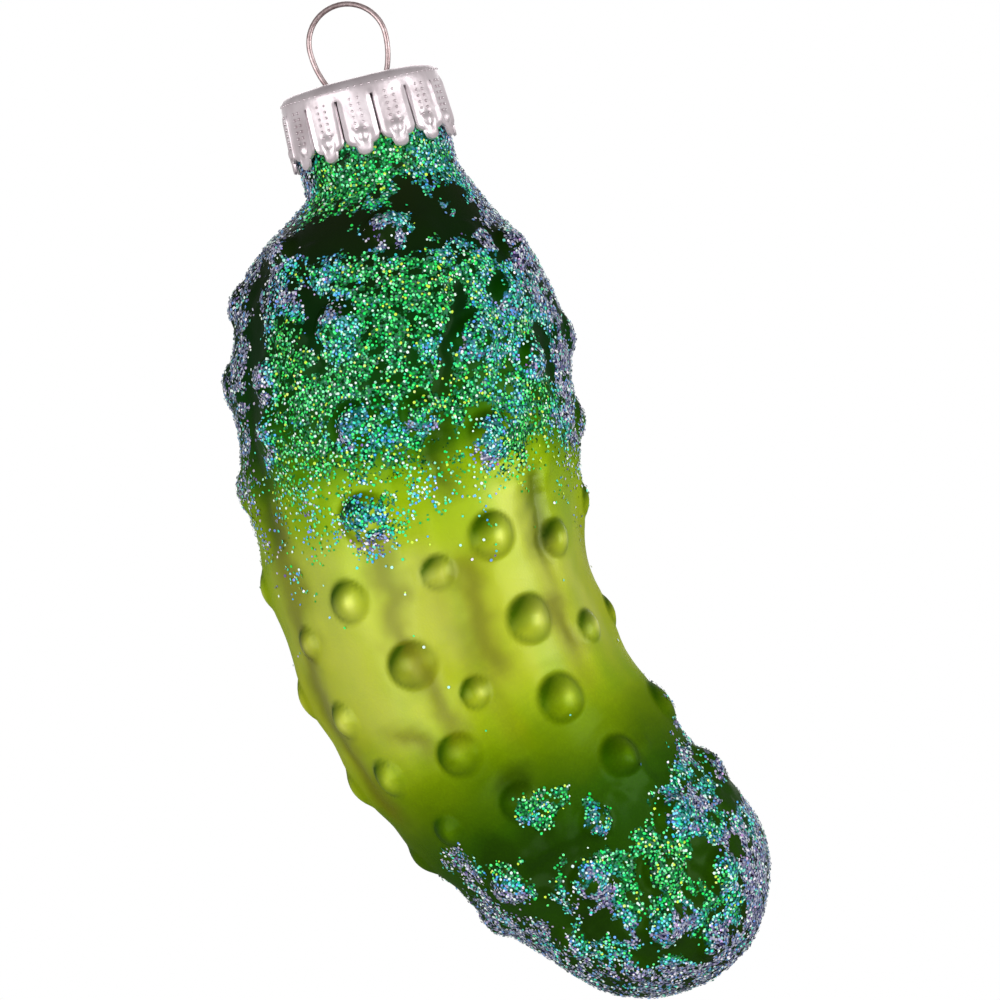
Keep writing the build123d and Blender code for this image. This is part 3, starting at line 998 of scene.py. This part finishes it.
def stored(geometry, name, kind, domain, value):
    """Keeps a value on the flakes under a name."""
    sockets = {"Geometry": geometry, "Name": name, "Value": value}
    return sower.node("GeometryNodeStoreNamedAttribute", {"data_type": kind, "domain": domain}, sockets)


flake_tone = tone_place(painted("zone"), random_between(0.0, 1.0, 6), random_between(0.0, 1.0, 4))
toned = stored(laid, "tone", "FLOAT", "INSTANCE", flake_tone)
toned = stored(toned, "row", "FLOAT", "INSTANCE", random_between(0.05, 0.95, 7))
loose = sower.node("GeometryNodeRealizeInstances", None, {"Geometry": toned})
flake_map = painted("UVMap", "FLOAT_VECTOR")
corner = sower.node("ShaderNodeSeparateXYZ", None, {0: flake_map}).socket.node.outputs
across, upward = Value(sower, corner["X"]), Value(sower, corner["Y"])
map_place = sower.node("ShaderNodeCombineXYZ", None, {
    "X": painted("tone") * (1 - 2 * MAP_EDGE) + MAP_EDGE + (across - 0.5) * PATCH_WIDE,
    "Y": painted("row") + (upward - 0.5) * PATCH_HIGH,
})
mapped = stored(loose, "OFBake", "FLOAT2", "CORNER", map_place)
sower.node("NodeGroupOutput", None, {"Flakes": mapped})
print("tones and map ready")

# %% Glitter finish, and the sowing
film = Finish("iridescent_flakes", Roughness=0.16, IOR=1.7, Thin_Film_Thickness=508.0, Thin_Film_IOR=1.4)
flake_finish = film.finish(Base_Color=film.ramp(film.attribute("tone"), rows_of(SPARKS), "CONSTANT"))
bpy.ops.object.select_all(action="DESELECT")
glitter = bpy.data.objects.new("glitter", glass.data.copy())
bpy.context.scene.collection.objects.link(glitter)
pick(glitter)
sow = glitter.modifiers.new("sow", "NODES")
sow.node_group = sower_tree
bpy.ops.object.modifier_apply(modifier=sow.name)
glitter.data.materials.clear()
glitter.data.materials.append(flake_finish)
bpy.data.objects.remove(flake)
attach(glitter, "pickle")
layers = [layer.name for layer in glitter.data.uv_layers]
print("glitter:", len(glitter.data.polygons), "flakes, maps", layers)

# %% [markdown]
# ## The crown cap
# The cap is pressed from thin sheet: a cup with a rounded edge, slit into fingers that
# spring round the neck. Each finger is nearly flat, has a round boss and a tongue at its
# end, a rim that is rolled a little outwards, and two columns of tiny pimples. A fine
# circle is extruded up into the cup, the ends are drawn to shape, the slits are deleted,
# and Solidify gives the sheet its thickness.

# %% Cap: raise the cup
PLATE_TOP_Z, COLLAR_Z, FINGER_END_Z, TONGUE_END_Z = -7.452, -9.352, -14.152, -15.152
CAP_RADIUS, CAP_EDGE = 8.1, 1.2
FINGERS, FINGER_PARTS = 14, 24
FIRST_FINGER = math.radians(-90 - 5.5)
SKIRT_ROWS, EDGE_ROWS = 28, 6
COLLAR_HEIGHT = 0.35
PLATE_RADII = (5.6, 4.2, 2.8, 1.4, 0.4)
pitch = 2 * math.pi / FINGERS
first_corner = FIRST_FINGER - pitch / 2
skirt_top_z = PLATE_TOP_Z - CAP_EDGE


def edge_row(tilt):
    """The height and radius of the cap's rounded edge at a tilt in degrees."""
    sine, cosine = math.sin(math.radians(tilt)), math.cos(math.radians(tilt))
    return skirt_top_z + CAP_EDGE * sine, CAP_RADIUS - CAP_EDGE * (1 - cosine)


skirt_height = COLLAR_Z - TONGUE_END_Z
rows = [(TONGUE_END_Z + skirt_height * k / SKIRT_ROWS, CAP_RADIUS) for k in range(SKIRT_ROWS + 1)]
rows += [(COLLAR_Z + COLLAR_HEIGHT, CAP_RADIUS), (skirt_top_z, CAP_RADIUS)]
rows += [edge_row(90 * k / EDGE_ROWS) for k in range(1, EDGE_ROWS + 1)]
rows += [(PLATE_TOP_Z, radius) for radius in PLATE_RADII]
cap = start(
    "crown_cap", bpy.ops.mesh.primitive_circle_add, vertices=FINGERS * FINGER_PARTS,
    radius=rows[0][1] * MM, location=(0, 0, rows[0][0] * MM),
)
bpy.ops.object.transform_apply(location=True, rotation=True, scale=True)
bpy.ops.object.mode_set(mode="EDIT")
bpy.ops.mesh.select_all(action="SELECT")
for (low_z, low_radius), (high_z, high_radius) in zip(rows, rows[1:]):
    climb = Vector((0, 0, high_z - low_z)) * MM
    bpy.ops.mesh.extrude_region_move(TRANSFORM_OT_translate={"value": climb})
    size = high_radius / low_radius
    bpy.ops.transform.resize(value=(size, size, 1), center_override=(0, 0, high_z * MM))
bpy.ops.mesh.merge(type="CENTER")
bpy.ops.object.mode_set(mode="OBJECT")
print("cup:", len(cap.data.vertices), "vertices")

# %% Cap: how a finger is drawn and sprung
CAP_FLARE = 0.25
FINGER_CORNER = 0.9
SLIT_HALF = 0.15
TONGUE_HALF, TONGUE_ROUND = 0.75, 0.7
bent = np.random.default_rng(7)
FINGER_LEANS = bent.uniform(-0.05, 0.2, FINGERS)
FINGER_TWISTS = bent.uniform(-0.16, 0.16, FINGERS)


def finger_offset(spots):
    """How far round from the middle of its finger each spot is, in millimetres."""
    turn = np.arctan2(spots[:, 1], spots[:, 0]) - FIRST_FINGER
    return ((turn + pitch / 2) % pitch - pitch / 2) * CAP_RADIUS


def finger_bottom(offset):
    """Where a finger's edge is, round its corners and its tongue."""
    from_middle = np.abs(offset)
    half = CAP_RADIUS * pitch / 2 - SLIT_HALF
    into_corner = np.clip(from_middle - (half - FINGER_CORNER), 0, FINGER_CORNER)
    bottom = FINGER_END_Z + FINGER_CORNER - np.sqrt(FINGER_CORNER**2 - into_corner**2)
    tongue = np.sqrt(np.clip(1 - (from_middle / TONGUE_HALF) ** 2, 0, 1)) ** TONGUE_ROUND
    return bottom - tongue * (FINGER_END_Z - TONGUE_END_Z)


def down_skirt(z):
    """How far down the skirt a height is, from 0 at its top to 1 at the tongues' ends."""
    return np.clip((skirt_top_z - z) / (skirt_top_z - TONGUE_END_Z), 0, 1)


def sprung_out(z, finger, offset):
    """How far a finger stands out, by the cap's flare and its own lean and twist."""
    return down_skirt(z) * (CAP_FLARE + FINGER_LEANS[finger] + FINGER_TWISTS[finger] * offset)


print("fingers lean by", np.round(FINGER_LEANS, 2))

# %% Cap: shape the fingers
BOSS_RADIUS, BOSS_HEIGHT, BOSS_Z = 0.75, 0.3, FINGER_END_Z + 1.0
ROLL_HEIGHT = 0.12
FLUTE_HEIGHT, FLUTE_PITCH = 0.05, 0.9
FLAT_SHARE, STAND_OFF = 0.75, 0.06


def place_vertices(piece, points):
    """Puts a piece's vertices at rows of millimetres."""
    piece.data.vertices.foreach_set("co", (points * MM).astype(np.float32).ravel())
    piece.data.update()


cup = vertices_of(cap)
part_turn = 2 * math.pi / (FINGERS * FINGER_PARTS)
angles = np.arctan2(cup[:, 1], cup[:, 0])
snapped = first_corner + np.round((angles - first_corner) / part_turn) * part_turn
cup_radius = np.hypot(cup[:, 0], cup[:, 1])
cup[:, 0] = cup_radius * np.cos(snapped)
cup[:, 1] = cup_radius * np.sin(snapped)
offset = finger_offset(cup)
on_skirt = cup[:, 2] < COLLAR_Z + 1e-3
below_collar = (COLLAR_Z - cup[:, 2]) / skirt_height
height = np.where(on_skirt, COLLAR_Z + below_collar * (finger_bottom(offset) - COLLAR_Z), cup[:, 2])
flat_in = (CAP_RADIUS - CAP_RADIUS * math.cos(pitch / 2) / np.cos(offset / CAP_RADIUS)) * FLAT_SHARE
boss_away = np.hypot(offset, height - BOSS_Z) / BOSS_RADIUS
boss = BOSS_HEIGHT * np.clip(1 - boss_away**2, 0, 1)
side_edge = step(np.abs(offset), 1.36, 1.66)
end_edge = step(finger_bottom(offset) - height, -0.32, -0.05)
rolled = ROLL_HEIGHT * np.maximum(side_edge, end_edge)
flutes = FLUTE_HEIGHT * np.cos(offset * 2 * math.pi / FLUTE_PITCH) * step(-np.abs(offset), -1.3, -1.0)
flutes *= step(-boss_away, -1.6, -1.1)
finger = np.floor((np.arctan2(cup[:, 1], cup[:, 0]) - first_corner) / pitch).astype(int) % FINGERS
pressed = step(down_skirt(height), 0.02, 0.2) * (flutes + rolled - flat_in + STAND_OFF)
shaped_radius = cup_radius + sprung_out(height, finger, offset) + pressed + boss
stretch = np.where(height < skirt_top_z, shaped_radius / np.maximum(cup_radius, 1e-6), 1.0)
place_vertices(cap, np.stack([cup[:, 0] * stretch, cup[:, 1] * stretch, height], 1))
print("fingers shaped:", FINGERS)

# %% Cap: cut the slits and give the sheet its thickness
SLIT_CUT = 0.16
CAP_SHEET = 0.25
slit_from = CAP_RADIUS * pitch / 2 - SLIT_CUT
bpy.ops.object.mode_set(mode="EDIT")
bpy.ops.mesh.select_mode(type="FACE")
bpy.ops.object.mode_set(mode="OBJECT")
for face in cap.data.polygons:
    middle = np.array([face.center]) / MM
    face.select = bool(middle[0, 2] < COLLAR_Z and abs(finger_offset(middle)[0]) > slit_from)
slit_count = sum(face.select for face in cap.data.polygons)
bpy.ops.object.mode_set(mode="EDIT")
bpy.ops.mesh.delete(type="FACE")
bpy.ops.mesh.select_all(action="SELECT")
bpy.ops.mesh.normals_make_consistent(inside=False)
bpy.ops.object.mode_set(mode="OBJECT")
apply_modifier(cap, "SOLIDIFY", thickness=CAP_SHEET * MM, offset=-1.0)
print("slit faces taken out:", slit_count)

# %% Cap: punch the wire holes
HOLE_X, HOLE_RADIUS = 3.05, 0.425
for hole_x in (-HOLE_X, HOLE_X):
    punch = start(
        "punch", bpy.ops.mesh.primitive_cylinder_add, vertices=24, radius=HOLE_RADIUS * MM, depth=2 * MM,
        location=(hole_x * MM, 0, PLATE_TOP_Z * MM),
    )
    apply_modifier(cap, "BOOLEAN", object=punch, operation="DIFFERENCE", solver="EXACT")
    bpy.data.objects.remove(punch)
print("wire holes", 2 * HOLE_X, "mm apart")

# %% Cap: press the pimples
PIMPLE_RADIUS = 0.15
PIMPLE_ROWS, PIMPLE_TOP, PIMPLE_PITCH, PIMPLE_COLUMN = 6, 0.1, 0.62, 0.42
PIMPLE_SINK, RING_SINK = 0.03, 0.05
RING_PIMPLES = 5 * FINGERS
ring_z, ring_radius = edge_row(16)
pimple_spots = [
    (k * 2 * math.pi / RING_PIMPLES, ring_z, ring_radius - RING_SINK) for k in range(RING_PIMPLES)
]
for number in range(FINGERS):
    for column in (-PIMPLE_COLUMN, PIMPLE_COLUMN):
        column_turn = FIRST_FINGER + number * pitch + column / CAP_RADIUS
        for k in range(PIMPLE_ROWS):
            z = COLLAR_Z - PIMPLE_TOP - PIMPLE_PITCH * k
            stand = CAP_RADIUS + sprung_out(z, number, column) - PIMPLE_SINK
            pimple_spots.append((column_turn, z, stand))
pimples = [
    start(
        "pimple", bpy.ops.mesh.primitive_ico_sphere_add, subdivisions=1, radius=PIMPLE_RADIUS * MM,
        location=(radius * math.cos(turn) * MM, radius * math.sin(turn) * MM, z * MM),
    )
    for turn, z, radius in pimple_spots
]
bpy.ops.object.select_all(action="DESELECT")
for pimple in pimples:
    pimple.select_set(True)
cap.select_set(True)
bpy.context.view_layer.objects.active = cap
bpy.ops.object.join()
pick(cap)
bpy.ops.object.shade_smooth_by_angle(angle=math.radians(50))
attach(cap, "crown")
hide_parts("cap")
print("cap:", len(cap.data.polygons), "faces")

# %% [markdown]
# ## Metal of the cap and the wire
# The cap is bright pressed sheet, a little smudged and crumpled, and the hanger is drawn
# steel wire, darker and without dents. Each gets its own finish of noise in real sizes. The
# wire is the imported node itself, because a plain bent wire needs no more modelling.

# %% Cap metal
cap_metal = Finish("pressed_cap_metal", Metallic=0.8, IOR=1.5)
brushed = cap_metal.noise(0.5, 3.0)
smudge = cap_metal.noise(3.0, 2.0)
silver = cap_metal.ramp(smudge, [(0.25, srgb(198, 185, 189)), (0.75, srgb(228, 218, 222))])
crumpled = cap_metal.bump(cap_metal.noise(1.1, 2.0) * 0.04 + brushed * 0.01)
cap.data.materials.append(cap_metal.finish(
    Base_Color=silver, Roughness=0.28 + brushed * 0.16, Normal=crumpled,
))
print("cap metal on", cap.name)

# %% Hanger wire
wire_metal = Finish("drawn_wire", Metallic=1.0)
drawn = wire_metal.noise(0.4, 3.0)
steel = wire_metal.ramp(drawn, [(0.3, srgb(150, 128, 128)), (0.7, srgb(196, 178, 178))])
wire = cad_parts["hanger_wire"]
wire.data.materials.clear()
wire.data.materials.append(wire_metal.finish(Base_Color=steel, Roughness=0.28 + drawn * 0.15))
print("wire finish on", wire.name)

# %% [markdown]
# ## Stage, light and camera
# The ornament hangs over a plain pale floor, in soft light from both sides. The floor glows
# a little, but to the camera alone, so that it stays pale far from the lights. The front
# light fills the shadows and is kept out of the gloss, where it would show as a square. A
# white world shows behind the ornament and in its gloss, dimmer overhead, so that upper
# sides fall darker. The camera looks straight at the front, rolled by the neck's lean.

# %% Floor and lights
FLOOR_DROP = 650.0
FLOOR_RADIUS = 3000.0
FLOOR_PAINT = srgb(236, 236, 234)
FLOOR_GLOW = 0.5
LIT_MIDDLE = Vector((0, 0, -55))


def grey(level):
    """A grey as linear light."""
    return (level, level, level, 1.0)


floor = start(
    "floor", bpy.ops.mesh.primitive_circle_add, vertices=64, radius=FLOOR_RADIUS * MM, fill_type="NGON",
    location=(0, 0, -FLOOR_DROP * MM),
)
paper = Finish("pale_floor", Roughness=0.8, Base_Color=FLOOR_PAINT, Emission_Strength=FLOOR_GLOW)
seen_directly = paper.node("ShaderNodeLightPath", output="Is Camera Ray")
glow = paper.mix(seen_directly, grey(0.0), FLOOR_PAINT)
floor.data.materials.append(paper.finish(Emission_Color=glow))


def softbox(name, place, size, power, in_gloss=True):
    """A square area light that faces the middle of the pickle, and shows in its gloss or not."""
    light = bpy.data.lights.new(name, "AREA")
    light.size = size * MM
    light.energy = power
    box = bpy.data.objects.new(name, light)
    bpy.context.scene.collection.objects.link(box)
    box.location = Vector(place) * MM
    box.visible_glossy = in_gloss
    box.rotation_euler = (LIT_MIDDLE - Vector(place)).to_track_quat("-Z", "Y").to_euler()


softbox("light_left", (-430, -500, -80), 600, 3.4)
softbox("light_front", (230, -620, -60), 420, 1.1, in_gloss=False)
softbox("light_right", (540, -300, -120), 400, 2.2)
softbox("light_back", (60, 640, 180), 500, 1.6)
print("floor and lights placed")

# %% World
RAYS = ("Camera", "Glossy", "Transmission")
GLOSS_STOPS = [(0.25, grey(0.9)), (0.5, grey(0.78)), (0.8, grey(0.4))]
FILL_LIGHT = grey(0.3)
world = bpy.data.worlds.new("studio")
world.use_nodes = True
bpy.context.scene.world = world
sky = Graph(world.node_tree)
ray = {name: sky.node("ShaderNodeLightPath", output=f"Is {name} Ray") for name in RAYS}
heading = sky.node("ShaderNodeTexCoord", output="Generated")
height_seen = sky.node("ShaderNodeSeparateXYZ", None, {0: heading}, output="Z")
gloss_sky = sky.ramp(height_seen * 0.5 + 0.5, GLOSS_STOPS)
lit_sky = sky.mix(ray["Glossy"], FILL_LIGHT, gloss_sky)
seen = ray["Camera"].math("MAXIMUM", ray["Camera"], ray["Transmission"])
sky.feed(sky.tree.nodes["Background"].inputs["Color"], sky.mix(seen, lit_sky, grey(1.0)))
print("world ready")

# %% Camera
CAMERA_ROLL = math.radians(14)
FRAME_WIDTH = 100.0
FRAME_CENTRE = (3.72, -51.66)
CAMERA_AWAY = 1000.0
SENSOR_WIDTH = 36.0
NEAR_CLIP, FAR_CLIP = 0.05, 20.0
camera_data = bpy.data.cameras.new("camera")
camera_data.sensor_width = SENSOR_WIDTH
camera_data.lens = SENSOR_WIDTH * CAMERA_AWAY / FRAME_WIDTH
camera_data.clip_start = NEAR_CLIP
camera_data.clip_end = FAR_CLIP
camera = bpy.data.objects.new("camera", camera_data)
bpy.context.scene.collection.objects.link(camera)
camera.location = Vector((FRAME_CENTRE[0], -CAMERA_AWAY, FRAME_CENTRE[1])) * MM
camera.rotation_euler = (math.radians(90), CAMERA_ROLL, 0)
bpy.context.scene.camera = camera
bpy.context.scene.view_settings.view_transform = "Standard"
print("camera ready")
